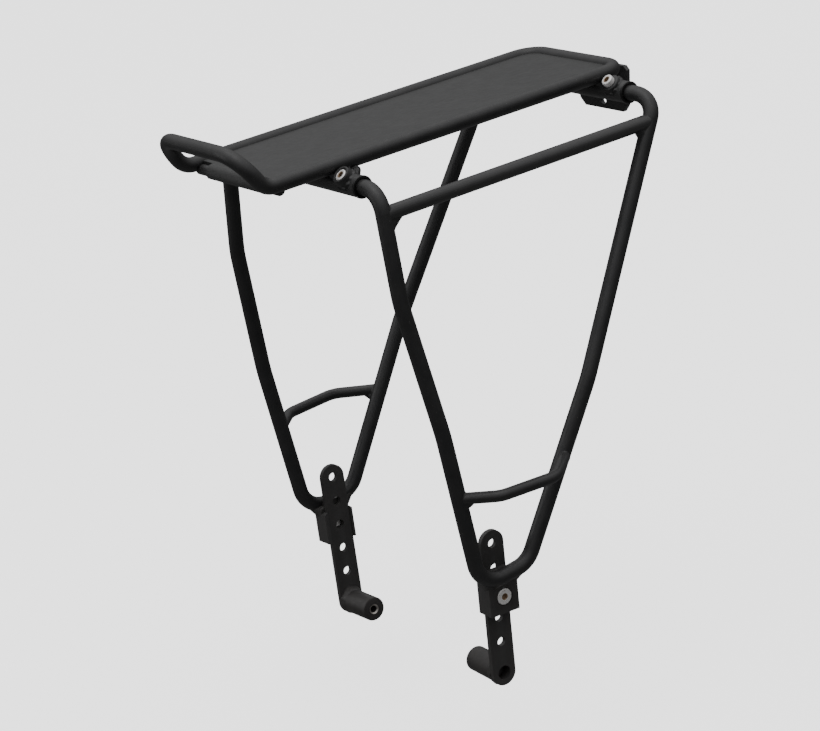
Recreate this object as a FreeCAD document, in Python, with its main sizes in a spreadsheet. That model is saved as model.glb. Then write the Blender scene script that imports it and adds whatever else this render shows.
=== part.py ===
import FreeCAD, Part
import math
import os

os.makedirs("parts", exist_ok=True)

V = FreeCAD.Vector
doc = FreeCAD.newDocument("rear_rack")

# ---------------------------------------------------------------- dimensions
# Frame: +X forward (saddle end), +Y left, +Z up, origin midway between the two
# dropout bolt bores. Sizes named ..._x and ..._z are taken from the deck datum:
# the rear crossing of the deck rod (X) and the plane of the deck rods (Z).
DIMENSIONS = [
    ("deck_height", 367.0),
    ("deck_setback", 204.6),
    ("rod_diameter", 10.5),
    ("hoop_diameter", 10.8),
    ("rail_diameter", 10.2),
    ("brace_diameter", 8.0),
    ("deck_half_width", 52.0),
    ("deck_corner_radius", 16.0),
    ("deck_kink_x", 292.4),
    ("deck_kink_radius", 13.2),
    ("loop_front_x", 307.8),
    ("loop_rise", 25.2),
    ("loop_corner_radius", 21.5),
    ("plate_thickness", 2.0),
    ("plate_half_width", 48.0),
    ("plate_rear_x", 2.0),
    ("cross_rod_diameter", 8.0),
    ("cross_rod_x", 281.0),
    ("cross_rod_z", -4.2),
    ("cross_rod_half_length", 51.0),
    ("lip_gap", 0.1),
    ("lip_wrap_angle", 118.0),
    ("lip_half_width", 33.5),
    ("lip_notch_x", 280.5),
    ("sleeve_front_x", 235.0),
    ("sleeve_rear_x", 14.5),
    ("sleeve_front_z", -12.3),
    ("sleeve_rear_z", -11.0),
    ("sleeve_half_length", 77.0),
    ("sleeve_diameter", 15.0),
    ("sleeve_bore", 11.0),
    ("sleeve_mouth_diameter", 12.8),
    ("sleeve_mouth_depth", 3.0),
    ("boss_y", 64.0),
    ("boss_diameter", 13.0),
    ("boss_foot_diameter", 16.0),
    ("boss_tilt", 50.0),
    ("front_boss_reach", 12.0),
    ("rear_boss_reach", 9.4),
    ("front_head_seat", 7.8),
    ("rear_head_seat", 9.4),
    ("head_recess_diameter", 9.4),
    ("pinch_thread", 5.0),
    ("pinch_head_diameter", 8.5),
    ("pinch_head_height", 4.0),
    ("pinch_socket_flats", 4.0),
    ("pinch_socket_depth", 2.2),
    ("pinch_tip_gap", 0.4),
    ("bracket_x", -19.5),
    ("bracket_sheet", 3.0),
    ("bracket_top_z", -6.5),
    ("bracket_bottom_z", -40.8),
    ("bracket_top_half", 32.5),
    ("bracket_waist_half", 27.0),
    ("bracket_foot_half", 22.0),
    ("bracket_ear_cut", 3.0),
    ("bracket_hole_z", -34.6),
    ("bracket_hole_diameter", 6.5),
    ("bracket_flange_half", 24.0),
    ("hoop_end_y", 38.0),
    ("hoop_top_y", 95.6),
    ("hoop_top_radius", 16.5),
    ("hoop_rear_bend_y", 79.0),
    ("hoop_rear_bend_radius", 8.0),
    ("hoop_rear_top_x", 7.8),
    ("hoop_rear_top_y", 95.9),
    ("hoop_rear_top_z", -13.5),
    ("hoop_rear_top_radius", 15.2),
    ("hoop_front_knee_x", 238.5),
    ("hoop_front_knee_y", 103.7),
    ("hoop_front_knee_z", -85.5),
    ("hoop_knee_y", 114.0),
    ("hoop_knee_z", -179.4),
    ("hoop_front_low_x", 230.2),
    ("hoop_rear_low_x", 110.1),
    ("hoop_knee_radius", 90.0),
    ("hoop_bottom_y", 110.4),
    ("hoop_bottom_front_x", 219.4),
    ("hoop_bottom_front_z", -294.6),
    ("hoop_bottom_rear_x", 179.2),
    ("hoop_bottom_rear_z", -290.2),
    ("hoop_bottom_radius", 18.0),
    ("rail_z", -27.7),
    ("rail_y", 97.4),
    ("rail_rear_x", 16.0),
    ("rail_front_x", 235.6),
    ("brace_z", -226.0),
    ("brace_leg_y", 113.2),
    ("brace_rear_leg_y", 116.0),
    ("brace_front_out_y", 133.5),
    ("brace_rear_out_y", 138.5),
    ("brace_front_leg_x", 225.5),
    ("brace_front_bend_x", 206.0),
    ("brace_rear_bend_x", 164.5),
    ("brace_rear_leg_x", 140.2),
    ("brace_bend_radius", 14.0),
    ("foot_y", 96.5),
    ("foot_lean", 3.1),
    ("foot_tilt", 2.2),
    ("bar_width", 18.6),
    ("bar_thickness", 3.5),
    ("bar_pitch", 18.2),
    ("bar_hole_diameter", 6.4),
    ("bar_bore_drop", 59.8),
    ("bar_bore_diameter", 10.0),
    ("spacer_diameter", 17.6),
    ("spacer_length", 30.0),
    ("spacer_bore", 5.5),
    ("spacer_flare_diameter", 20.0),
    ("spacer_flare_length", 5.0),
    ("block_front", 12.4),
    ("block_rear", 11.3),
    ("block_top", 10.0),
    ("block_bottom", 12.0),
    ("block_inside", 2.8),
    ("block_outside", 10.9),
    ("channel_clearance", 0.25),
    ("neck_top_half", 7.0),
    ("neck_height", 9.0),
    ("screw_thread", 5.8),
    ("screw_head_diameter", 11.6),
    ("screw_head_height", 3.0),
    ("screw_recess_diameter", 12.6),
    ("screw_recess_depth", 5.2),
    ("screw_tip_gap", 0.3),
    ("screw_socket_flats", 4.0),
    ("screw_socket_depth", 2.0),
]

sheet = doc.addObject("Spreadsheet::Sheet", "Dimensions")
for row, (alias, value) in enumerate(DIMENSIONS, start=1):
    sheet.set("A%d" % row, alias)
    sheet.set("B%d" % row, str(value))
    sheet.setAlias("B%d" % row, alias)
doc.recompute()


def dim(alias):
    """A driving size read from the sheet."""
    return float(sheet.get(alias))


NODES = []


def as_node(obj, label):
    """Name a finished sub-part and list it for export."""
    obj.Label = label
    NODES.append(obj)
    return obj


def spot(x, y, z):
    """A point given from the deck datum."""
    return V(x - dim("deck_setback"), y, z + dim("deck_height"))


# ------------------------------------------------------------------- helpers
def bound_cylinder(name, radius_rule, height_rule, base, axis):
    """A cylinder whose radius and height follow the sheet."""
    cyl = doc.addObject("Part::Cylinder", name)
    cyl.setExpression("Radius", radius_rule)
    cyl.setExpression("Height", height_rule)
    cyl.Placement = FreeCAD.Placement(base, FreeCAD.Rotation(V(0, 0, 1), axis))
    return cyl


def bound_prism(name, flats_rule, height_rule, base, axis):
    """A hexagonal key socket; its circumradius follows the width over flats."""
    prism = doc.addObject("Part::Prism", name)
    prism.Polygon = 6
    prism.setExpression("Circumradius", "(%s) / sqrt(3)" % flats_rule)
    prism.setExpression("Height", height_rule)
    prism.Placement = FreeCAD.Placement(base, FreeCAD.Rotation(V(0, 0, 1), axis))
    return prism


def fused(name, *shapes):
    """One solid joined from several."""
    joined = doc.addObject("Part::MultiFuse", name)
    joined.Shapes = list(shapes)
    joined.Refine = True
    return joined


def cut(name, base, *tools):
    """A base with one or more tools taken out of it."""
    result = doc.addObject("Part::Cut", name)
    result.Base = base
    result.Tool = tools[0] if len(tools) == 1 else fused(name + "_tools", *tools)
    return result


def profile_solid(name, corners, thickness, direction, placement=None):
    """A flat outline (list of vectors) pushed out by a thickness."""
    outline = doc.addObject("Part::Feature", name + "_outline")
    outline.Shape = Part.Face(Part.makePolygon(corners + [corners[0]]))
    if placement is not None:
        outline.Placement = placement
    solid = doc.addObject("Part::Extrusion", name)
    solid.Base = outline
    solid.DirMode = "Custom"
    solid.Dir = placement.Rotation.multVec(direction) if placement is not None else direction
    solid.Solid = True
    solid.setExpression("LengthFwd", thickness)
    return solid


def bend_path(name, points, radii, closed=False):
    """Straight runs through the points with a true arc at every bend."""
    count = len(points)
    starts, ends, middles = {}, {}, {}
    bends = range(count) if closed else range(1, count - 1)
    for i in bends:
        here = points[i]
        to_prev = (points[i - 1] - here).normalize()
        to_next = (points[(i + 1) % count] - here).normalize()
        half_angle = to_prev.getAngle(to_next) / 2.0
        tangent = radii[i] / math.tan(half_angle)
        centre_way = (to_prev + to_next).normalize()
        centre = here + centre_way * (radii[i] / math.sin(half_angle))
        starts[i] = here + to_prev * tangent
        ends[i] = here + to_next * tangent
        middles[i] = centre - centre_way * radii[i]
    edges = []
    runs = range(count) if closed else range(count - 1)
    for i in runs:
        j = (i + 1) % count
        edges.append(Part.LineSegment(ends.get(i, points[i]), starts.get(j, points[j])).toShape())
        if j in middles:
            edges.append(Part.Arc(starts[j], middles[j], ends[j]).toShape())
    path = doc.addObject("Part::Feature", name + "_path")
    path.Shape = Part.Wire(edges)
    return path


def bent_rod(name, diameter_rule, points, radii, closed=False):
    """A round rod swept along a bent path."""
    path = bend_path(name, points, radii, closed)
    first = path.Shape.Edges[0]
    start = first.valueAt(first.FirstParameter)
    heading = first.tangentAt(first.FirstParameter)
    ring = doc.addObject("Part::Circle", name + "_section")
    ring.setExpression("Radius", "(%s) / 2" % diameter_rule)
    ring.Placement = FreeCAD.Placement(start, FreeCAD.Rotation(V(0, 0, 1), heading))
    rod = doc.addObject("Part::Sweep", name)
    rod.Sections = [ring]
    rod.Spine = (path, ["Edge%d" % (k + 1) for k in range(len(path.Shape.Edges))])
    rod.Solid = True
    rod.Frenet = False
    return rod


def straight_rod(name, diameter_rule, start, end):
    """A straight round rod between two points."""
    rod = doc.addObject("Part::Cylinder", name)
    rod.setExpression("Radius", "(%s) / 2" % diameter_rule)
    rod.Height = (end - start).Length
    rod.Placement = FreeCAD.Placement(start, FreeCAD.Rotation(V(0, 0, 1), end - start))
    return rod


# ---------------------------------------------------------------- deck frame
half = dim("deck_half_width")
deck_points = [
    spot(0, half, 0),
    spot(dim("deck_kink_x"), half, 0),
    spot(dim("loop_front_x"), half, dim("loop_rise")),
    spot(dim("loop_front_x"), -half, dim("loop_rise")),
    spot(dim("deck_kink_x"), -half, 0),
    spot(0, -half, 0),
]
deck_radii = [
    dim("deck_corner_radius"),
    dim("deck_kink_radius"),
    dim("loop_corner_radius"),
    dim("loop_corner_radius"),
    dim("deck_kink_radius"),
    dim("deck_corner_radius"),
]
deck_rod = as_node(
    bent_rod("deck_rod", "Dimensions.rod_diameter", deck_points, deck_radii, closed=True),
    "deck_frame_rod",
)

# Front cross rod, coped where it meets the side runs of the deck rod.
cross_blank = straight_rod(
    "cross_blank",
    "Dimensions.cross_rod_diameter",
    spot(dim("cross_rod_x"), -dim("cross_rod_half_length"), dim("cross_rod_z")),
    spot(dim("cross_rod_x"), dim("cross_rod_half_length"), dim("cross_rod_z")),
)
as_node(cut("front_cross", cross_blank, deck_rod), "front_cross_rod")

# Deck plate: a flat sheet whose front edge rolls down over the cross rod.
lip_inner = dim("cross_rod_diameter") / 2 + dim("lip_gap")
lip_outer = lip_inner + dim("plate_thickness")
plate_low = dim("cross_rod_z") + lip_inner
plate_high = plate_low + dim("plate_thickness")
lip_centre = V(dim("cross_rod_x"), 0, dim("cross_rod_z"))
wrap = math.radians(dim("lip_wrap_angle"))


def on_lip(radius, angle):
    """A point on the rolled lip, the angle measured forward from straight up."""
    return lip_centre + V(radius * math.sin(angle), 0, radius * math.cos(angle))


plate_edges = [
    Part.LineSegment(V(dim("plate_rear_x"), 0, plate_high), on_lip(lip_outer, 0)).toShape(),
    Part.Arc(on_lip(lip_outer, 0), on_lip(lip_outer, wrap / 2), on_lip(lip_outer, wrap)).toShape(),
    Part.LineSegment(on_lip(lip_outer, wrap), on_lip(lip_inner, wrap)).toShape(),
    Part.Arc(on_lip(lip_inner, wrap), on_lip(lip_inner, wrap / 2), on_lip(lip_inner, 0)).toShape(),
    Part.LineSegment(on_lip(lip_inner, 0), V(dim("plate_rear_x"), 0, plate_low)).toShape(),
    Part.LineSegment(
        V(dim("plate_rear_x"), 0, plate_low), V(dim("plate_rear_x"), 0, plate_high)
    ).toShape(),
]
plate_outline = doc.addObject("Part::Feature", "plate_outline")
plate_outline.Shape = Part.Face(Part.Wire(plate_edges))
plate_outline.Placement = FreeCAD.Placement(
    spot(0, -dim("plate_half_width"), 0), FreeCAD.Rotation()
)
plate_blank = doc.addObject("Part::Extrusion", "plate_blank")
plate_blank.Base = plate_outline
plate_blank.DirMode = "Custom"
plate_blank.Dir = V(0, 1, 0)
plate_blank.Solid = True
plate_blank.setExpression("LengthFwd", "Dimensions.plate_half_width * 2")
notches = []
for side, start_y in (("left", dim("lip_half_width")), ("right", -dim("plate_half_width") - 1.0)):
    notch = doc.addObject("Part::Box", side + "_lip_notch")
    notch.Length = 30.0
    notch.Width = dim("plate_half_width") + 1.0 - dim("lip_half_width")
    notch.Height = 30.0
    notch.Placement = FreeCAD.Placement(spot(dim("lip_notch_x"), start_y, -20.0), FreeCAD.Rotation())
    notches.append(notch)
as_node(cut("deck_sheet", plate_blank, deck_rod, *notches), "deck_plate")

# ------------------------------------------------- cross sleeves and clamps
tilt = math.radians(dim("boss_tilt"))
boss_axis = V(math.cos(tilt), 0, math.sin(tilt))
SIDES = (("left", 1), ("right", -1))
ENDS = (
    ("front", "sleeve_front_x", "sleeve_front_z", "front_boss_reach", "front_head_seat"),
    ("rear", "sleeve_rear_x", "sleeve_rear_z", "rear_boss_reach", "rear_head_seat"),
)

for end, x_alias, z_alias, reach_alias, seat_alias in ENDS:
    centre_x = dim(x_alias)
    centre_z = dim(z_alias)
    low = spot(centre_x, -dim("sleeve_half_length"), centre_z)
    high = spot(centre_x, dim("sleeve_half_length"), centre_z)
    outside = bound_cylinder(
        end + "_sleeve_outside",
        "Dimensions.sleeve_diameter / 2",
        "Dimensions.sleeve_half_length * 2",
        low,
        V(0, 1, 0),
    )
    bore = bound_cylinder(
        end + "_sleeve_bore",
        "Dimensions.sleeve_bore / 2",
        "Dimensions.sleeve_half_length * 2",
        low,
        V(0, 1, 0),
    )
    tools = [deck_rod, bore]
    for side, sign in SIDES:
        mouth = high if sign > 0 else low
        tools.append(
            bound_cylinder(
                "%s_%s_mouth" % (end, side),
                "Dimensions.sleeve_mouth_diameter / 2",
                "Dimensions.sleeve_mouth_depth",
                mouth,
                V(0, -sign, 0),
            )
        )
        root = spot(centre_x, sign * dim("boss_y"), centre_z)
        drill = bound_cylinder(
            "%s_%s_thread" % (end, side),
            "Dimensions.pinch_thread / 2",
            "Dimensions.%s" % reach_alias,
            root,
            boss_axis,
        )
        tools.append(drill)

        boss_body = bound_cylinder(
            "%s_%s_boss_body" % (end, side),
            "Dimensions.boss_diameter / 2",
            "Dimensions.%s" % reach_alias,
            root,
            boss_axis,
        )
        boss_foot = doc.addObject("Part::Cone", "%s_%s_boss_foot" % (end, side))
        boss_foot.setExpression("Radius1", "Dimensions.boss_foot_diameter / 2")
        boss_foot.setExpression("Radius2", "Dimensions.boss_diameter / 2")
        boss_foot.setExpression("Height", "Dimensions.%s" % seat_alias)
        boss_foot.Placement = FreeCAD.Placement(root, FreeCAD.Rotation(V(0, 0, 1), boss_axis))
        boss_blank = fused("%s_%s_boss_blank" % (end, side), boss_body, boss_foot)
        boss_tools = [outside, drill, deck_rod]
        if end == "front":
            boss_tools.append(
                bound_cylinder(
                    "%s_%s_head_recess" % (end, side),
                    "Dimensions.head_recess_diameter / 2",
                    "Dimensions.%s" % reach_alias,
                    root + boss_axis * dim(seat_alias),
                    boss_axis,
                )
            )
        as_node(
            cut("%s_%s_boss" % (end, side), boss_blank, *boss_tools),
            "%s_clamp_boss_%s" % (end, side),
        )

        tip = dim("hoop_diameter") / 2 + dim("pinch_tip_gap")
        shank = doc.addObject("Part::Cylinder", "%s_%s_shank" % (end, side))
        shank.setExpression("Radius", "Dimensions.pinch_thread / 2")
        shank.setExpression(
            "Height",
            "Dimensions.%s - Dimensions.hoop_diameter / 2 - Dimensions.pinch_tip_gap" % seat_alias,
        )
        shank.Placement = FreeCAD.Placement(
            root + boss_axis * tip, FreeCAD.Rotation(V(0, 0, 1), boss_axis)
        )
        seat = root + boss_axis * dim(seat_alias)
        head = bound_cylinder(
            "%s_%s_head" % (end, side),
            "Dimensions.pinch_head_diameter / 2",
            "Dimensions.pinch_head_height",
            seat,
            boss_axis,
        )
        socket_base = seat + boss_axis * (dim("pinch_head_height") - dim("pinch_socket_depth"))
        socket = bound_prism(
            "%s_%s_socket" % (end, side),
            "Dimensions.pinch_socket_flats",
            "Dimensions.pinch_socket_depth * 2",
            socket_base,
            boss_axis,
        )
        screw_blank = fused("%s_%s_screw_blank" % (end, side), shank, head)
        as_node(
            cut("%s_%s_screw" % (end, side), screw_blank, socket),
            "%s_pinch_screw_%s" % (end, side),
        )
    sleeve = cut(end + "_sleeve_cut", outside, *tools)
    as_node(sleeve, end + "_sleeve")
    if end == "rear":
        rear_outside = outside

# ------------------------------------------------------------- light bracket
back = dim("bracket_x") - dim("bracket_sheet") / 2
bracket_top = dim("bracket_top_z")
bracket_bottom = dim("bracket_bottom_z")
waist_z = bracket_bottom + 5.0
ear_z = bracket_top - dim("bracket_ear_cut")
right_side = [
    (dim("bracket_top_half") - dim("bracket_ear_cut"), bracket_top),
    (dim("bracket_top_half"), ear_z),
    (dim("bracket_waist_half"), waist_z),
    (dim("bracket_foot_half"), bracket_bottom),
]
corners = [spot(back, y, z) for y, z in right_side]
corners += [spot(back, -y, z) for y, z in reversed(right_side)]
bracket_plate = profile_solid("bracket_plate", corners, "Dimensions.bracket_sheet", V(1, 0, 0))
flange = doc.addObject("Part::Box", "bracket_flange")
flange.Length = dim("sleeve_rear_x") - dim("bracket_x") - dim("bracket_sheet") / 2
flange.setExpression("Width", "Dimensions.bracket_flange_half * 2")
flange.setExpression("Height", "Dimensions.bracket_sheet")
flange.Placement = FreeCAD.Placement(
    spot(
        back + dim("bracket_sheet"),
        -dim("bracket_flange_half"),
        dim("sleeve_rear_z") - dim("bracket_sheet") / 2,
    ),
    FreeCAD.Rotation(),
)
bracket_hole = bound_cylinder(
    "bracket_hole",
    "Dimensions.bracket_hole_diameter / 2",
    "Dimensions.bracket_sheet * 3",
    spot(back - dim("bracket_sheet"), 0, dim("bracket_hole_z")),
    V(1, 0, 0),
)
as_node(cut("bracket", bracket_plate, bracket_hole), "light_bracket")
as_node(cut("bracket_arm", flange, rear_outside), "light_bracket_arm")

# ------------------------------------- side frames: hoop, rail, brace, block
foot_turn = FreeCAD.Rotation(V(1, 0, 0), dim("foot_tilt")).multiply(
    FreeCAD.Rotation(V(0, 1, 0), -dim("foot_lean"))
)
bar_up = foot_turn.multVec(V(0, 0, 1))
bar_forward = foot_turn.multVec(V(1, 0, 0))
OUTBOARD = foot_turn.multVec(V(0, -1, 0))
INBOARD = foot_turn.multVec(V(0, 1, 0))


def at(x, y, z):
    """A point on the right side of the rack, y counted outwards from the middle."""
    return spot(x, -y, z)


hoop_points = [
    at(dim("sleeve_front_x"), dim("hoop_end_y"), dim("sleeve_front_z")),
    at(dim("sleeve_front_x"), dim("hoop_top_y"), dim("sleeve_front_z")),
    at(dim("hoop_front_knee_x"), dim("hoop_front_knee_y"), dim("hoop_front_knee_z")),
    at(dim("hoop_front_low_x"), dim("hoop_knee_y"), dim("hoop_knee_z")),
    at(dim("hoop_bottom_front_x"), dim("hoop_bottom_y"), dim("hoop_bottom_front_z")),
    at(dim("hoop_bottom_rear_x"), dim("hoop_bottom_y"), dim("hoop_bottom_rear_z")),
    at(dim("hoop_rear_low_x"), dim("hoop_knee_y"), dim("hoop_knee_z")),
    at(dim("hoop_rear_top_x"), dim("hoop_rear_top_y"), dim("hoop_rear_top_z")),
    at(dim("sleeve_rear_x"), dim("hoop_rear_bend_y"), dim("sleeve_rear_z")),
    at(dim("sleeve_rear_x"), dim("hoop_end_y"), dim("sleeve_rear_z")),
]
top_r, knee_r, low_r = dim("hoop_top_radius"), dim("hoop_knee_radius"), dim("hoop_bottom_radius")
rear_r, side_r = dim("hoop_rear_top_radius"), dim("hoop_rear_bend_radius")
hoop_radii = [0, top_r, knee_r, knee_r, low_r, low_r, knee_r, rear_r, side_r, 0]
hoop = as_node(
    bent_rod("right_hoop_rod", "Dimensions.hoop_diameter", hoop_points, hoop_radii),
    "right_hoop",
)

rail_blank = straight_rod(
    "right_rail_blank",
    "Dimensions.rail_diameter",
    at(dim("rail_rear_x"), dim("rail_y"), dim("rail_z")),
    at(dim("rail_front_x"), dim("rail_y"), dim("rail_z")),
)
as_node(cut("right_rail", rail_blank, hoop), "right_upper_rail")

brace_points = [
    at(dim("brace_front_leg_x"), dim("brace_leg_y"), dim("brace_z")),
    at(dim("brace_front_bend_x"), dim("brace_front_out_y"), dim("brace_z")),
    at(dim("brace_rear_bend_x"), dim("brace_rear_out_y"), dim("brace_z")),
    at(dim("brace_rear_leg_x"), dim("brace_rear_leg_y"), dim("brace_z")),
]
bend = dim("brace_bend_radius")
brace_blank = bent_rod(
    "right_brace_blank", "Dimensions.brace_diameter", brace_points, [0, bend, bend, 0]
)
as_node(cut("right_brace", brace_blank, hoop), "right_lower_brace")

# Foot block: a channel open inboard, with a necked top welded under the hoop.
def on_foot(forward, out, up):
    """A point by the right foot bar: forward, outboard of its middle, up from the screw hole."""
    base = V(0, -dim("foot_y"), 0)
    return base + bar_forward * forward + OUTBOARD * out + bar_up * (up + dim("bar_bore_drop"))

top, low = dim("block_top"), -dim("block_bottom")
neck = dim("neck_top_half")
neck_top = top + dim("neck_height")
block_outline = [
    (-dim("block_rear"), low),
    (dim("block_front"), low),
    (dim("block_front"), top),
    (neck + 2.0, top + 2.0),
    (neck, neck_top),
    (-neck, neck_top),
    (-neck - 2.0, top + 2.0),
    (-dim("block_rear"), top),
]
outer = dim("block_outside")
block_solid = profile_solid(
    "right_block_solid",
    [on_foot(forward, outer, up) for forward, up in block_outline],
    "Dimensions.block_outside + Dimensions.block_inside",
    INBOARD,
)
slot_half = dim("bar_width") / 2 + dim("channel_clearance")
channel_floor = dim("bar_thickness") / 2 + dim("channel_clearance")
channel_outline = [
    (-slot_half, low - 5.0),
    (slot_half, low - 5.0),
    (slot_half, neck_top + 5.0),
    (-slot_half, neck_top + 5.0),
]
channel = profile_solid(
    "right_block_channel",
    [on_foot(forward, channel_floor, up) for forward, up in channel_outline],
    "Dimensions.bar_thickness / 2 + Dimensions.channel_clearance + Dimensions.block_inside + 5",
    INBOARD,
)
recess = bound_cylinder(
    "right_block_recess",
    "Dimensions.screw_recess_diameter / 2",
    "Dimensions.screw_recess_depth",
    on_foot(0, outer, 0),
    INBOARD,
)
thread_hole = bound_cylinder(
    "right_block_thread",
    "Dimensions.screw_thread / 2",
    "Dimensions.block_outside + Dimensions.block_inside",
    on_foot(0, outer, 0),
    INBOARD,
)
block_seat = cut("right_block_seat", block_solid, hoop)
as_node(cut("right_block", block_seat, channel, recess, thread_hole), "right_foot_block")

# Height screw, shown backed out until its tip clears the bar.
bar_outer = dim("bar_thickness") / 2
head = bound_cylinder(
    "right_height_head",
    "Dimensions.screw_head_diameter / 2",
    "Dimensions.screw_head_height",
    on_foot(0, outer - dim("screw_head_height"), 0),
    OUTBOARD,
)
shank = bound_cylinder(
    "right_height_shank",
    "Dimensions.screw_thread / 2",
    "Dimensions.block_outside - Dimensions.screw_head_height / 2"
    " - Dimensions.bar_thickness / 2 - Dimensions.screw_tip_gap",
    on_foot(0, bar_outer + dim("screw_tip_gap"), 0),
    OUTBOARD,
)
socket = bound_prism(
    "right_height_socket",
    "Dimensions.screw_socket_flats",
    "Dimensions.screw_socket_depth * 2",
    on_foot(0, outer - dim("screw_socket_depth"), 0),
    OUTBOARD,
)
as_node(
    cut("right_height", fused("right_height_blank", head, shank), socket),
    "right_height_screw",
)

# Foot bar: rounded flat bar with a row of height holes and a bolt seat below.
pitch = dim("bar_pitch")
top_hole = on_foot(0, bar_outer, 2 * pitch)
bore_spot = on_foot(0, bar_outer, -dim("bar_bore_drop"))
straight_half = dim("bar_width") / 2
flat_outline = [
    on_foot(-straight_half, bar_outer, -dim("bar_bore_drop")),
    on_foot(straight_half, bar_outer, -dim("bar_bore_drop")),
    on_foot(straight_half, bar_outer, 2 * pitch),
    on_foot(-straight_half, bar_outer, 2 * pitch),
]
flat = profile_solid("right_bar_flat", flat_outline, "Dimensions.bar_thickness", INBOARD)
rounds = [
    bound_cylinder(
        "right_bar_round%d" % k,
        "Dimensions.bar_width / 2",
        "Dimensions.bar_thickness",
        end_centre,
        INBOARD,
    )
    for k, end_centre in enumerate((top_hole, bore_spot))
]
holes = [
    bound_cylinder(
        "right_bar_hole%d" % k,
        "Dimensions.bar_hole_diameter / 2",
        "Dimensions.bar_thickness",
        on_foot(0, bar_outer, k * pitch),
        INBOARD,
    )
    for k in (-2, -1, 0, 1, 2)
]
bore = bound_cylinder(
    "right_bar_bore",
    "Dimensions.bar_bore_diameter / 2",
    "Dimensions.bar_thickness",
    bore_spot,
    INBOARD,
)
bar_blank = fused("right_bar_blank", flat, *rounds)
as_node(cut("right_bar", bar_blank, bore, *holes), "right_foot_bar")

# Foot spacer: a bored stub welded inboard of the bar's lower end.
spacer_start = on_foot(0, -dim("bar_thickness") / 2, -dim("bar_bore_drop"))
stub = bound_cylinder(
    "right_spacer_stub",
    "Dimensions.spacer_diameter / 2",
    "Dimensions.spacer_length",
    spacer_start,
    INBOARD,
)
flare = doc.addObject("Part::Cone", "right_spacer_flare")
flare.setExpression("Radius1", "Dimensions.spacer_flare_diameter / 2")
flare.setExpression("Radius2", "Dimensions.spacer_diameter / 2")
flare.setExpression("Height", "Dimensions.spacer_flare_length")
flare.Placement = FreeCAD.Placement(
    spacer_start, FreeCAD.Rotation(V(0, 0, 1), INBOARD)
)
spacer_bore = bound_cylinder(
    "right_spacer_bore",
    "Dimensions.spacer_bore / 2",
    "Dimensions.spacer_length",
    spacer_start,
    INBOARD,
)
as_node(
    cut("right_spacer", fused("right_spacer_blank", stub, flare), spacer_bore),
    "right_foot_spacer",
)

# The left side frame and foot mirror the right ones.
for node in [obj for obj in NODES if obj.Label.startswith("right_")]:
    mirror = doc.addObject("Part::Mirroring", node.Label.replace("right_", "left_"))
    mirror.Source = node
    mirror.Normal = V(0, 1, 0)
    as_node(mirror, node.Label.replace("right_", "left_"))

# -------------------------------------------------------------------- export
doc.recompute()
for obj in doc.Objects:
    if any(flag in obj.State for flag in ("Invalid", "Error")):
        raise RuntimeError("object did not compute: " + obj.Label)
for node in NODES:
    if node.Shape.isNull() or not node.Shape.isValid():
        raise RuntimeError("bad shape: " + node.Label)
    node.Shape.exportStep("parts/%s.step" % node.Label)
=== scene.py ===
import math

import bpy
import bmesh
from mathutils import Matrix, Vector, noise as field


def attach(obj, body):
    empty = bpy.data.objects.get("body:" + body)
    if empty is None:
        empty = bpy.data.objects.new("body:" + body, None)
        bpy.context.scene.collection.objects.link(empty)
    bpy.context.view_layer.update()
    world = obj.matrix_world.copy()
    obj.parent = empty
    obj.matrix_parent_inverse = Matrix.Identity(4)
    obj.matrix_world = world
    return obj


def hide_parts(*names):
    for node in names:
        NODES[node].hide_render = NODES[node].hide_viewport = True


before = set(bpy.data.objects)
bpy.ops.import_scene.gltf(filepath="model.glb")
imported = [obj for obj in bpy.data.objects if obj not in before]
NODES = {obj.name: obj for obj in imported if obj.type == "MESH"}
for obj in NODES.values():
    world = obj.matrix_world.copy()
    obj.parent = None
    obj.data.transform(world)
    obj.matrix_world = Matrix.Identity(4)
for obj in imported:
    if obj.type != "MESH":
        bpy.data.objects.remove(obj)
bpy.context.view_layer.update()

MM = 0.001

# --------------------------------------------------------- sizes from the part
# Deck datum (rear crossing of the deck rod, plane of the deck rods) to the frame.
SETBACK, HEIGHT = 204.6, 367.0
DECK_ROD, HOOP_ROD, RAIL_ROD, BRACE_ROD, SLEEVE = 5.25, 5.4, 5.1, 4.0, 7.5
DECK_HALF = 52.0
BOSS_Y, BOSS_TILT = 64.0, math.radians(50.0)
SLEEVES = {
    "front": {"x": 235.0, "z": -12.3, "reach": 12.0, "seat": 7.8},
    "rear": {"x": 14.5, "z": -11.0, "reach": 9.4, "seat": 9.4},
}
RAIL_Z, RAIL_Y = -27.7, 97.4
BRACE_Z = -226.0
BRACES = {
    "front": {"leg": "front_low", "start": (225.5, 113.2), "bend": (206.0, 133.5)},
    "rear": {"leg": "rear_low", "start": (140.2, 116.0), "bend": (164.5, 138.5)},
}
HOOP_LOW_Y = 110.4
HEIGHT_HEAD = 3.0
FOOT_Y, LEAN, TILT = 96.5, math.radians(3.1), math.radians(2.2)
BAR_DROP, BAR_THICK = 59.8, 3.5
SPACER_R, SPACER_BORE, SPACER_LENGTH = 8.8, 2.75, 30.0
BLOCK_OUT = 10.9
SIDES = (("left", 1.0), ("right", -1.0))


def spot(x, y, z):
    """Deck-datum millimetres to frame metres."""
    return Vector(((x - SETBACK) * MM, y * MM, (z + HEIGHT) * MM))


def foot_frame(sign):
    """Base point and forward, outboard and upward directions of a leaning foot."""
    forward = Vector((
        math.cos(LEAN),
        sign * math.sin(TILT) * math.sin(LEAN),
        math.cos(TILT) * math.sin(LEAN),
    ))
    out = Vector((0.0, sign * math.cos(TILT), -math.sin(TILT)))
    up = Vector((
        -math.sin(LEAN),
        sign * math.sin(TILT) * math.cos(LEAN),
        math.cos(TILT) * math.cos(LEAN),
    ))
    return Vector((0.0, sign * FOOT_Y * MM, 0.0)), forward, out, up


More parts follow.
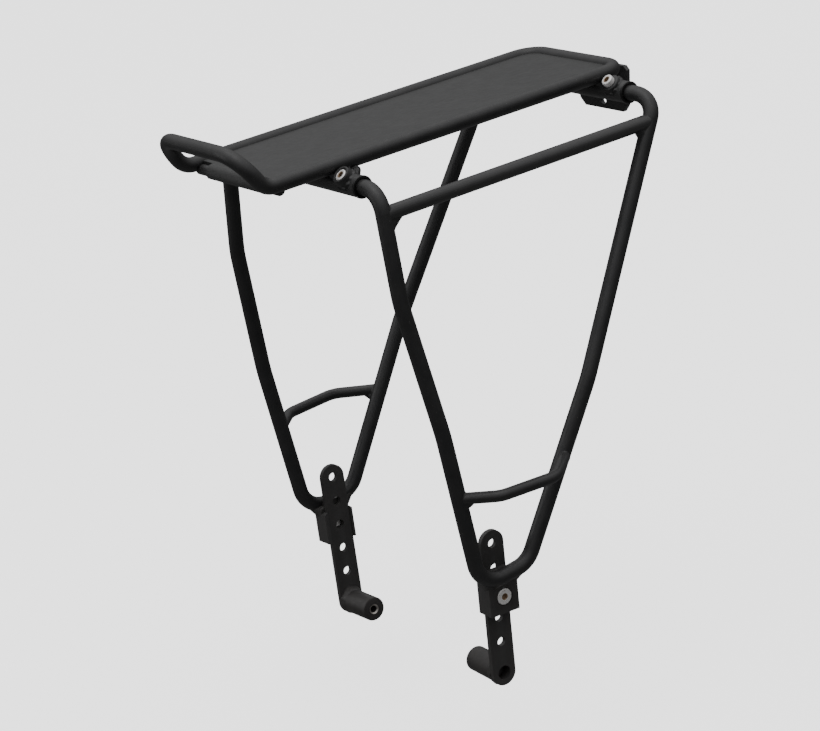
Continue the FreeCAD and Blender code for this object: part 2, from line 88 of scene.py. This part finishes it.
# ------------------------------------------------------------------ camera
AZIMUTH, ELEVATION, ROLL = math.radians(149.1), math.radians(19.3), math.radians(-10.0)
DISTANCE = 2.0
FOCAL_PIXELS = 2889.5
IMAGE_WIDTH = 820
TARGET = spot(177.5, 0.0, -170.9)


def make_camera():
    """The photograph's camera, rolled a little about its own axis."""
    back = Vector((
        math.sin(AZIMUTH) * math.cos(ELEVATION),
        -math.cos(AZIMUTH) * math.cos(ELEVATION),
        math.sin(ELEVATION),
    ))
    level = Vector((math.cos(AZIMUTH), math.sin(AZIMUTH), 0.0))
    upright = back.cross(level)
    right = math.cos(ROLL) * level + math.sin(ROLL) * upright
    up = -math.sin(ROLL) * level + math.cos(ROLL) * upright
    data = bpy.data.cameras.new("camera")
    data.sensor_width = 36.0
    data.lens = FOCAL_PIXELS / IMAGE_WIDTH * data.sensor_width
    camera = bpy.data.objects.new("camera", data)
    bpy.context.scene.collection.objects.link(camera)
    turn = Matrix((right, up, back)).transposed().to_4x4()
    camera.matrix_world = Matrix.Translation(TARGET + back * DISTANCE) @ turn
    bpy.context.scene.camera = camera
    return level


LEVEL = make_camera()


# --------------------------------------------------------------- materials
def material(name):
    mat = bpy.data.materials.new(name)
    mat.use_nodes = True
    tree = mat.node_tree
    return mat, tree, tree.nodes["Principled BSDF"]


def noise(tree, coords, scale, detail=4.0, rough=0.55):
    node = tree.nodes.new("ShaderNodeTexNoise")
    node.inputs["Scale"].default_value = scale
    node.inputs["Detail"].default_value = detail
    node.inputs["Roughness"].default_value = rough
    tree.links.new(coords.outputs["Object"], node.inputs["Vector"])
    return node


def ramp(tree, source, low, high, low_value, high_value):
    node = tree.nodes.new("ShaderNodeMapRange")
    node.inputs["From Min"].default_value = low
    node.inputs["From Max"].default_value = high
    node.inputs["To Min"].default_value = low_value
    node.inputs["To Max"].default_value = high_value
    tree.links.new(source, node.inputs["Value"])
    return node


def mix_colour(tree, factor, first, second):
    node = tree.nodes.new("ShaderNodeMix")
    node.data_type = "RGBA"
    for socket, value in (("A", first), ("B", second)):
        if isinstance(value, tuple):
            node.inputs[socket].default_value = (*value, 1.0)
        else:
            tree.links.new(value, node.inputs[socket])
    tree.links.new(factor, node.inputs["Factor"])
    return node


def add_bump(tree, shader, height, strength, distance, under=None):
    node = tree.nodes.new("ShaderNodeBump")
    node.inputs["Strength"].default_value = strength
    node.inputs["Distance"].default_value = distance
    tree.links.new(height, node.inputs["Height"])
    if under is not None:
        tree.links.new(under.outputs["Normal"], node.inputs["Normal"])
    tree.links.new(node.outputs["Normal"], shader.inputs["Normal"])
    return node


def powder_coat(name, dark, light, roughness, peel_scale=1500.0, peel=0.12, specks=0.5):
    """Powder coat: fine orange peel, soft mottling, dust specks, rubbed edges."""
    mat, tree, shader = material(name)
    coords = tree.nodes.new("ShaderNodeTexCoord")
    mottle = noise(tree, coords, 70.0)
    tone = ramp(tree, mottle.outputs["Fac"], 0.35, 0.65, 0.0, 1.0)
    body = mix_colour(tree, tone.outputs["Result"], dark, light)
    dust = noise(tree, coords, 900.0, 1.0)
    dust_mask = ramp(tree, dust.outputs["Fac"], 0.74, 0.8, 0.0, specks)
    dusty = mix_colour(
        tree, dust_mask.outputs["Result"], body.outputs["Result"], (0.16, 0.155, 0.15)
    )
    geometry = tree.nodes.new("ShaderNodeNewGeometry")
    edge = ramp(tree, geometry.outputs["Pointiness"], 0.56, 0.66, 0.0, 0.45)
    worn = mix_colour(
        tree, edge.outputs["Result"], dusty.outputs["Result"], (0.07, 0.07, 0.07)
    )
    tree.links.new(worn.outputs["Result"], shader.inputs["Base Color"])
    rub = noise(tree, coords, 240.0, 5.0)
    rough = ramp(tree, rub.outputs["Fac"], 0.3, 0.7, roughness - 0.05, roughness + 0.06)
    tree.links.new(rough.outputs["Result"], shader.inputs["Roughness"])
    wave = noise(tree, coords, 180.0, 2.0)
    first = add_bump(tree, shader, wave.outputs["Fac"], 0.10, 0.0006)
    fine = noise(tree, coords, peel_scale, 3.0)
    add_bump(tree, shader, fine.outputs["Fac"], peel, 0.0002, first)
    shader.inputs["Specular IOR Level"].default_value = 0.5
    return mat


def bright_steel(name, first, second, low_rough, high_rough, metallic):
    """Plated screw steel with faint turning marks and a cloudy surface."""
    mat, tree, shader = material(name)
    coords = tree.nodes.new("ShaderNodeTexCoord")
    cloud = noise(tree, coords, 420.0)
    tone = ramp(tree, cloud.outputs["Fac"], 0.3, 0.7, 0.0, 1.0)
    colour = mix_colour(tree, tone.outputs["Result"], first, second)
    tree.links.new(colour.outputs["Result"], shader.inputs["Base Color"])
    rough = ramp(tree, cloud.outputs["Fac"], 0.3, 0.7, low_rough, high_rough)
    tree.links.new(rough.outputs["Result"], shader.inputs["Roughness"])
    shader.inputs["Metallic"].default_value = metallic
    fine = noise(tree, coords, 3200.0, 2.0)
    add_bump(tree, shader, fine.outputs["Fac"], 0.04, 0.0001)
    return mat


BLACK = powder_coat("powder_black", (0.017, 0.017, 0.0175), (0.024, 0.0238, 0.024), 0.42)
SHEET = powder_coat(
    "powder_sheet", (0.021, 0.0215, 0.021), (0.027, 0.0275, 0.027), 0.55, 1100.0, 0.22, 0.35
)
WARM = powder_coat(
    "powder_foot", (0.031, 0.029, 0.028), (0.04, 0.0375, 0.0355), 0.5, 1300.0, 0.16
)
# Near-black paint for the sleeve mouths: painted shade standing for the shadowed gap around the
# hoop inside each sleeve end.
MOUTH_SHADE = powder_coat("mouth_painted_shade", (0.006, 0.006, 0.006), (0.009, 0.009, 0.009), 0.35)
STEEL = bright_steel("screw_steel", (0.92, 0.905, 0.885), (0.96, 0.95, 0.94), 0.26, 0.31, 0.45)
BARE = bright_steel("bare_bore", (0.42, 0.4, 0.37), (0.6, 0.57, 0.53), 0.3, 0.45, 1.0)
# Key socket steel, darker and brown: the darkness is painted shade in the hex recess, the brown
# tint is the socket's own colour.
SOCKET = bright_steel("key_socket", (0.2, 0.13, 0.075), (0.3, 0.2, 0.12), 0.35, 0.5, 0.2)


def dress(obj, mat):
    obj.data.materials.clear()
    obj.data.materials.append(mat)


def soften(obj, width):
    """Rounds a pressed or sawn part's sharp edges."""
    bevel = obj.modifiers.new("edge_round", "BEVEL")
    bevel.limit_method = "ANGLE"
    bevel.angle_limit = math.radians(32.0)
    bevel.width = width * MM
    bevel.segments = 3
    bevel.use_clamp_overlap = True


for name, obj in NODES.items():
    if "screw" in name:
        dress(obj, STEEL)
    elif name == "deck_plate":
        dress(obj, SHEET)
    elif "foot" in name:
        dress(obj, WARM)
    else:
        dress(obj, BLACK)


# ------------------------------------------------------------ piece building
def finish_piece(name, mesh, mat, body):
    """Wraps a mesh in memory as a named piece riding on its body."""
    for face in mesh.polygons:
        face.use_smooth = True
    obj = bpy.data.objects.new(name, mesh)
    bpy.context.scene.collection.objects.link(obj)
    dress(obj, mat)
    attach(obj, body)
    return obj


def turned(name, body, base, axis, rings, mat, steps=64, hollow=False,
           start=None, socket=None):
    """A turned part: rings of (radius, height) in mm; a radius may follow the angle.

    The last few rings and the floor inside them take the socket material, if there is one."""
    axis = axis.normalized()
    side = start.normalized() if start else axis.orthogonal().normalized()
    other = axis.cross(side)
    bm = bmesh.new()
    rows = []
    for radius, height in rings:
        row = []
        for k in range(steps):
            angle = 2.0 * math.pi * k / steps
            r = radius(angle) if callable(radius) else radius
            at = base + axis * height * MM
            at = at + (side * math.cos(angle) + other * math.sin(angle)) * r * MM
            row.append(bm.verts.new(at))
        rows.append(row)
    if hollow:
        rows.append(rows[0])
    for low, high in zip(rows, rows[1:]):
        for k in range(steps):
            j = (k + 1) % steps
            bm.faces.new((low[k], low[j], high[j], high[k]))
    if not hollow:
        bm.faces.new(list(reversed(rows[0])))
        bm.faces.new(rows[-1])
    bmesh.ops.recalc_face_normals(bm, faces=bm.faces)
    mesh = bpy.data.meshes.new(name)
    bm.to_mesh(mesh)
    bm.free()
    obj = finish_piece(name, mesh, mat, body)
    if socket:
        obj.data.materials.append(socket)
        first, tip = (len(rows) - 4) * steps, (len(rows) - 1) * steps
        for face in obj.data.polygons:
            if face.index >= first and face.index != tip:
                face.material_index = 1
    split = obj.modifiers.new("crisp_edges", "EDGE_SPLIT")
    split.split_angle = math.radians(38.0)
    return obj


def hexagon(flats):
    """Radius of a hexagonal key socket at an angle."""
    def radius(angle):
        part = (angle % (math.pi / 3.0)) - math.pi / 6.0
        return flats / 2.0 / math.cos(part)
    return radius


def screw_rings(head_r, height, rim, flats, depth, shank_r, shank):
    """Rings of a socket screw from its tip up over the head and into the socket."""
    rings = [(shank_r - 0.5, -shank), (shank_r, -shank + 0.5), (shank_r, 0.0), (head_r - 0.2, 0.0)]
    rings += [(head_r, 0.25), (head_r, height - rim)]
    for k in range(1, 6):
        turn = k / 5.0 * math.pi / 2.0
        rings.append((head_r - rim + rim * math.cos(turn), height - rim + rim * math.sin(turn)))
    lead = flats / 2.0 / math.cos(math.pi / 6.0) + 0.35
    rings += [
        (lead, height),
        (hexagon(flats), height - 0.35),
        (hexagon(flats), height - depth),
        (0.4, height - depth - 0.5),
    ]
    return rings


CORE = []


def rod_into(bm, start, end, radius, weld=False):
    """Adds a closed round bar between two points (metres; radius in mm).

    A bar that isn't weld metal is noted, so that the weld's lumps stay off it."""
    if not weld:
        CORE.append((start, end - start, radius))
    way = end - start
    turn = way.to_track_quat("Z", "Y").to_matrix().to_4x4()
    place = Matrix.Translation((start + end) / 2.0) @ turn
    bmesh.ops.create_cone(
        bm, cap_ends=True, cap_tris=False, segments=32,
        radius1=radius * MM, radius2=radius * MM, depth=way.length, matrix=place,
    )


def outside_core(point):
    """How far a point stands outside the bars that a weld joins, in millimetres."""
    nearest = 100.0
    for start, way, radius in CORE:
        share = min(max((point - start).dot(way) / way.length_squared, 0.0), 1.0)
        nearest = min(nearest, (point - start - way * share).length / MM - radius)
    return nearest


def block_into(bm, centre, axes, halves):
    """Adds a closed box by centre, three directions and three half sizes (mm)."""
    corners = []
    for sx in (-1, 1):
        for sy in (-1, 1):
            for sz in (-1, 1):
                at = centre.copy()
                for way, half, sign in zip(axes, halves, (sx, sy, sz)):
                    at += way * half * sign * MM
                corners.append(bm.verts.new(at))
    for quad in (
        (0, 1, 3, 2), (4, 6, 7, 5), (0, 4, 5, 1), (2, 3, 7, 6), (0, 2, 6, 4), (1, 5, 7, 3),
    ):
        bm.faces.new([corners[k] for k in quad])


def blended(name, body, fill, voxel=0.55, passes=26, lump=0.25, seed=0.0, mat=None):
    """Welded joint: overlapping bars made one skin, its inner corners filled by smoothing."""
    bm = bmesh.new()
    CORE.clear()
    fill(bm)
    bmesh.ops.recalc_face_normals(bm, faces=bm.faces)
    mesh = bpy.data.meshes.new(name + "_core")
    bm.to_mesh(mesh)
    bm.free()
    core = bpy.data.objects.new(name + "_core", mesh)
    bpy.context.scene.collection.objects.link(core)
    remesh = core.modifiers.new("skin", "REMESH")
    remesh.mode = "VOXEL"
    remesh.voxel_size = voxel * MM
    smooth = core.modifiers.new("flow", "SMOOTH")
    smooth.factor = 0.5
    smooth.iterations = passes
    graph = bpy.context.evaluated_depsgraph_get()
    final = bpy.data.meshes.new_from_object(core.evaluated_get(graph))
    bpy.data.objects.remove(core)
    bpy.data.meshes.remove(mesh)
    final.name = name
    offset = Vector((seed, seed * 0.7, -seed))
    moves = []
    for vert in final.vertices:
        proud = min(max(outside_core(vert.co) / 0.5, 0.0), 1.0)
        wave = field.noise(vert.co * 420.0 + offset) + 0.5 * field.noise(vert.co * 1100.0 + offset)
        moves.append(vert.normal * (wave * lump * proud - 0.12 * (1.0 - proud)) * MM)
    for vert, move in zip(final.vertices, moves):
        vert.co += move
    return finish_piece(name, final, mat or BLACK, body)


# --------------------------------------------------- sleeves, bosses, screws
for end, data in SLEEVES.items():
    boss_axis = Vector((math.cos(BOSS_TILT), 0.0, math.sin(BOSS_TILT)))
    for side, sign in SIDES:
        mouth = spot(data["x"], sign * 75.2, data["z"])
        # The sleeve's mouth lip, painted near-black: painted shade for the shadowed gap between
        # hoop and sleeve.
        turned(
            "%s_sleeve_mouth_shade_%s" % (end, side), "deck", mouth, Vector((0, sign, 0)),
            [(5.75, 1.7), (5.75, 1.0), (7.3, 0.2), (7.6, 0.4), (7.75, 0.8), (7.75, 1.35),
             (7.55, 1.75), (7.2, 1.9), (6.0, 1.9)],
            MOUTH_SHADE, steps=72, hollow=True,
        )
        root = spot(data["x"], sign * BOSS_Y, data["z"])
        reach, seat = data["reach"], data["seat"]
        if end == "front":
            rings = [(7.0, 4.0), (6.6, reach - 1.0), (6.45, reach - 0.35), (6.1, reach),
                     (5.2, reach), (4.75, reach - 0.3), (4.7, reach - 1.0), (4.7, seat),
                     (0.5, seat)]
        else:
            rings = [(7.2, 4.0), (6.6, reach - 0.8), (6.4, reach - 0.3), (6.0, reach),
                     (0.5, reach)]
        boss = turned("%s_boss_%s" % (end, side), "deck", root, boss_axis, rings, BLACK)
        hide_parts("%s_clamp_boss_%s" % (end, side))
        screw = turned(
            "%s_clamp_screw_%s" % (end, side), "deck", root + boss_axis * seat * MM, boss_axis,
            screw_rings(4.25, 4.0, 0.8, 3.6, 2.2, 2.4, seat - 5.9), STEEL, 72,
            socket=SOCKET,
        )
        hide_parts("%s_pinch_screw_%s" % (end, side))

        def boss_weld(bm, data=data, sign=sign, root=root, boss_axis=boss_axis, reach=reach):
            ends = [spot(data["x"], sign * y, data["z"]) for y in (50.5, 73.0)]
            rod_into(bm, ends[0], ends[1], SLEEVE)
            rod_into(bm, root, root + boss_axis * (reach - 2.2) * MM, 6.6)
            across = Vector((-boss_axis.z, 0.0, boss_axis.x))
            for k in range(9):
                turn = 2.0 * math.pi * k / 9.0
                rim = across * math.cos(turn) + Vector((0.0, math.sin(turn), 0.0))
                height = 6.6 - 1.9 * math.cos(turn) ** 2
                at = root + (rim * 6.9 + boss_axis * height) * MM
                rod_into(bm, at - rim * 1.2 * MM, at + rim * 1.2 * MM, 1.9, weld=True)

        blended("%s_boss_weld_%s" % (end, side), "deck", boss_weld, passes=14, lump=0.3,
                seed=3.0 + sign)

        def deck_weld(bm, data=data, sign=sign):
            ends = [spot(data["x"], sign * y, data["z"]) for y in (41.0, 63.0)]
            rod_into(bm, ends[0], ends[1], SLEEVE)
            if end == "front":
                bars = [spot(data["x"] + d, sign * DECK_HALF, 0) for d in (-11.0, 11.0)]
            else:
                bars = [spot(data["x"] + d, sign * DECK_HALF, 0) for d in (1.0, 12.0)]
            rod_into(bm, bars[0], bars[1], DECK_ROD)
            for d in (-4.8, 4.8):
                low = spot(data["x"] + d, sign * (DECK_HALF - 3.6), -5.6)
                high = spot(data["x"] + d, sign * (DECK_HALF + 3.6), -5.6)
                rod_into(bm, low, high, 2.6, weld=True)
            if end == "front":
                low = spot(data["x"] - 11.5, sign * (DECK_HALF + 2.0), -6.0)
                high = spot(data["x"] - 6.0, sign * (DECK_HALF + 7.5), -9.5)
                rod_into(bm, low, high, 3.0, weld=True)
            for d in (-3.2, 3.2):
                for rim in (-5.4, 5.4):
                    at = spot(data["x"] + d, sign * (DECK_HALF + rim), -5.2)
                    rod_into(bm, at, at + Vector((d * 0.5 * MM, 0.0, 0.0)), 2.1, weld=True)

        blended("%s_deck_weld_%s" % (end, side), "deck", deck_weld, passes=14, lump=0.45,
                seed=9.0 + sign)

# ------------------------------------------------------ side frames and feet
HOOP = {
    "front_top": ((235.0, 95.6, -12.3), (238.5, 103.7, -85.5)),
    "rear_top": ((7.8, 95.9, -13.5), (110.1, 114.0, -179.4)),
    "front_low": ((230.2, 114.0, -179.4), (219.4, 110.4, -294.6)),
    "rear_low": ((110.1, 114.0, -179.4), (179.2, 110.4, -290.2)),
}


def leg_point(leg, z):
    """Where a leg of the hoop passes a height, in deck-datum millimetres."""
    low, high = HOOP[leg]
    share = (z - low[2]) / (high[2] - low[2])
    return tuple(a + (b - a) * share for a, b in zip(low, high))


for side, sign in SIDES:
    frame_body, foot_body, lock_body = side + "_frame", side + "_foot", side + "_lock"

    for end, leg, way in (("front", "front_top", -1.0), ("rear", "rear_top", 1.0)):
        def rail_weld(bm, leg=leg, way=way, sign=sign):
            here = leg_point(leg, RAIL_Z)
            over = leg_point(leg, RAIL_Z + (5.0 if way < 0.0 else 1.0))
            under = leg_point(leg, RAIL_Z - 17.0)
            rod_into(bm, spot(over[0], sign * over[1], over[2]),
                     spot(under[0], sign * under[1], under[2]), HOOP_ROD)
            rod_into(bm, spot(here[0], sign * here[1], RAIL_Z),
                     spot(here[0] + way * 19.0, sign * RAIL_Y, RAIL_Z), RAIL_ROD)
            low = leg_point(leg, RAIL_Z - 11.5)
            rod_into(bm, spot(low[0], sign * low[1], low[2]),
                     spot(here[0] + way * 11.0, sign * RAIL_Y, RAIL_Z - 2.0), 3.6, weld=True)

        blended("%s_rail_weld_%s" % (end, side), frame_body, rail_weld, passes=22, lump=0.2,
                seed=21.0 + sign + way)

    for end, brace in BRACES.items():
        def brace_weld(bm, leg=brace["leg"], start=brace["start"], bend=brace["bend"], sign=sign):
            over, under = leg_point(leg, BRACE_Z + 13.0), leg_point(leg, BRACE_Z - 13.0)
            rod_into(bm, spot(over[0], sign * over[1], over[2]),
                     spot(under[0], sign * under[1], under[2]), HOOP_ROD)
            reach = 13.0 / math.dist(start, bend)
            tip = [a + (b - a) * reach for a, b in zip(start, bend)]
            rod_into(bm, spot(start[0], sign * start[1], BRACE_Z),
                     spot(tip[0], sign * tip[1], BRACE_Z), BRACE_ROD)
            bead = [a + (b - a) * reach * 0.55 for a, b in zip(start, bend)]
            low = leg_point(leg, BRACE_Z - 6.5)
            rod_into(bm, spot(low[0], sign * (low[1] + 2.5), low[2]),
                     spot(bead[0], sign * bead[1], BRACE_Z - 2.5), 2.8, weld=True)

        blended("%s_brace_weld_%s" % (end, side), frame_body, brace_weld, passes=18, lump=0.45,
                seed=33.0 + sign)

    base, forward, out, up = foot_frame(sign)
    screw_at = base + up * BAR_DROP * MM

    def saddle(bm, sign=sign, screw_at=screw_at, forward=forward, out=out, up=up):
        fore = spot(211.0, sign * HOOP_LOW_Y, -293.7)
        aft = spot(188.0, sign * HOOP_LOW_Y, -291.2)
        rod_into(bm, fore, aft, HOOP_ROD)
        middle = screw_at + forward * 0.6 * MM + out * 6.5 * MM + up * 11.0 * MM
        block_into(bm, middle, (forward, out, up), (11.7, 4.6, 3.8))
        heel = screw_at + (out * 6.4 + up * 8.2 - forward * 7.4) * MM
        for x, z, radius in ((184.0, -290.6, 4.2), (179.0, -286.4, 3.8)):
            rod_into(bm, heel, spot(x, sign * HOOP_LOW_Y, z), radius, weld=True)
        toe = screw_at + (out * 6.4 + up * 8.2 + forward * 8.8) * MM
        rod_into(bm, toe, spot(214.2, sign * HOOP_LOW_Y, -291.6), 3.6, weld=True)

    blended("block_saddle_" + side, frame_body, saddle, passes=30, lump=0.15, seed=41.0 + sign,
            mat=WARM)

    screw = turned(
        "height_lock_" + side, lock_body, screw_at + out * (BLOCK_OUT - HEIGHT_HEAD) * MM, out,
        screw_rings(5.75, HEIGHT_HEAD, 0.5, 3.6, 2.0, 2.85, 5.6), STEEL, 96,
        socket=SOCKET,
    )
    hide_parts(side + "_height_screw")

    inner = base - out * BAR_THICK / 2.0 * MM
    spacer = turned(
        "foot_stub_" + side, foot_body, inner, -out,
        [(SPACER_BORE, 5.5), (4.98, 5.0), (4.98, 0.0), (SPACER_R + 0.4, 0.0), (SPACER_R, 2.5),
         (SPACER_R, SPACER_LENGTH - 0.9),
         (SPACER_R - 0.25, SPACER_LENGTH - 0.3), (SPACER_R - 0.8, SPACER_LENGTH),
         (SPACER_BORE + 0.9, SPACER_LENGTH), (SPACER_BORE + 0.15, SPACER_LENGTH - 0.8),
         (SPACER_BORE, SPACER_LENGTH - 1.2)],
        WARM, steps=72, hollow=True,
    )
    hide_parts(side + "_foot_spacer")
    turned(
        "stub_seat_" + side, foot_body, inner - out * (SPACER_LENGTH - 1.3) * MM, -out,
        [(2.5, 0.0), (SPACER_BORE + 0.1, 0.0), (SPACER_BORE + 1.0, 1.32),
         (SPACER_BORE + 0.8, 1.34), (2.62, 0.7)],
        BARE, 72, True,
    )

    def weld_rim(extra):
        def radius(angle):
            lift = max(0.0, math.cos(angle)) ** 2
            waves = 0.22 * math.sin(7 * angle) + 0.16 * math.sin(12 * angle + 1.3)
            return SPACER_R + extra * (1.0 + 2.0 * lift) + waves * min(extra, 1.0)
        return radius

    turned(
        "foot_weld_" + side, foot_body, inner, -out,
        [(7.6, 0.05), (weld_rim(0.75), 0.05), (weld_rim(0.7), 0.9), (weld_rim(0.5), 1.9),
         (weld_rim(0.3), 3.2), (weld_rim(0.12), 4.4), (8.4, 5.2)],
        WARM, steps=120, hollow=True, start=up,
    )

for name in ("left_foot_block", "right_foot_block"):
    soften(NODES[name], 0.9)
for name in ("left_foot_bar", "right_foot_bar"):
    soften(NODES[name], 0.35)
soften(NODES["light_bracket"], 0.5)
soften(NODES["deck_plate"], 0.4)

# -------------------------------------------------------------- floor, light
FLOOR_Z = -0.0495
FLOOR_GLOW, WALL_GLOW = 1.7, 2.2
WALL_RADIUS, WALL_HEIGHT = 18.0, 14.0


def pale_paint(name, glow):
    """Plain pale paint for the stage, with a glow of its own."""
    mat, _, shader = material(name)
    shader.inputs["Base Color"].default_value = (0.85, 0.85, 0.85, 1.0)
    shader.inputs["Roughness"].default_value = 0.9
    shader.inputs["Emission Color"].default_value = (1.0, 1.0, 1.0, 1.0)
    shader.inputs["Emission Strength"].default_value = glow
    return mat


def plane(name, size, z):
    mesh = bpy.data.meshes.new(name)
    h = size / 2
    mesh.from_pydata([(-h, -h, z), (h, -h, z), (h, h, z), (-h, h, z)], [], [(0, 1, 2, 3)])
    obj = bpy.data.objects.new(name, mesh)
    bpy.context.scene.collection.objects.link(obj)
    return obj


floor = plane("floor", 40.0, FLOOR_Z)
dress(floor, pale_paint("floor_paint", FLOOR_GLOW))


def backdrop(name, steps=96):
    """A round pale wall, seen by the camera only, so that low views have no dark horizon."""
    verts, faces = [], []
    for k in range(steps):
        turn = 2.0 * math.pi * k / steps
        x, y = WALL_RADIUS * math.cos(turn), WALL_RADIUS * math.sin(turn)
        verts += [(x, y, FLOOR_Z - 0.2), (x, y, WALL_HEIGHT)]
        j = (k + 1) % steps
        faces.append((2 * k, 2 * k + 1, 2 * j + 1, 2 * j))
    mesh = bpy.data.meshes.new(name)
    mesh.from_pydata(verts, [], faces)
    obj = bpy.data.objects.new(name, mesh)
    bpy.context.scene.collection.objects.link(obj)
    return obj


wall = backdrop("wall")
dress(wall, pale_paint("wall_paint", WALL_GLOW))
wall.visible_shadow = False
for obj in (floor, wall):
    obj.visible_diffuse = False
    obj.visible_glossy = False

# Studio: bright tent overhead, dark walls, a little light coming back from below.
world = bpy.data.worlds.new("studio")
world.use_nodes = True
tree = world.node_tree
coords = tree.nodes.new("ShaderNodeTexCoord")
split = tree.nodes.new("ShaderNodeSeparateXYZ")
tree.links.new(coords.outputs["Generated"], split.inputs["Vector"])
height = ramp(tree, split.outputs["Z"], -1.0, 1.0, 0.0, 1.0)
levels = tree.nodes.new("ShaderNodeValToRGB")
STOPS = (
    (0.0, 0.22), (0.3, 0.09), (0.5, 0.10), (0.6, 0.22), (0.72, 0.55), (0.85, 1.0), (1.0, 1.15),
)
strip = levels.color_ramp
while len(strip.elements) < len(STOPS):
    strip.elements.new(0.5)
for element, (place, level) in zip(strip.elements, STOPS):
    element.position = place
    element.color = (level, level, level * 1.01, 1.0)
tree.links.new(height.outputs["Result"], levels.inputs["Fac"])
background = tree.nodes["Background"]
tree.links.new(levels.outputs["Color"], background.inputs["Color"])
background.inputs["Strength"].default_value = 1.0
bpy.context.scene.world = world


def area_light(name, place, target, size, power):
    data = bpy.data.lights.new(name, "AREA")
    data.shape = "SQUARE"
    data.size = size
    data.energy = power
    obj = bpy.data.objects.new(name, data)
    bpy.context.scene.collection.objects.link(obj)
    obj.location = place
    aim = Vector(target) - Vector(place)
    obj.rotation_euler = aim.to_track_quat("-Z", "Y").to_euler()
    return obj


middle = Vector((0.0, 0.0, 0.2))
area_light("top_light", (0.1, 0.1, 2.2), middle, 1.4, 6.0)
area_light("left_light", middle - LEVEL * 2.0 + Vector((0, 0, 0.5)), middle, 1.0, 3.6)
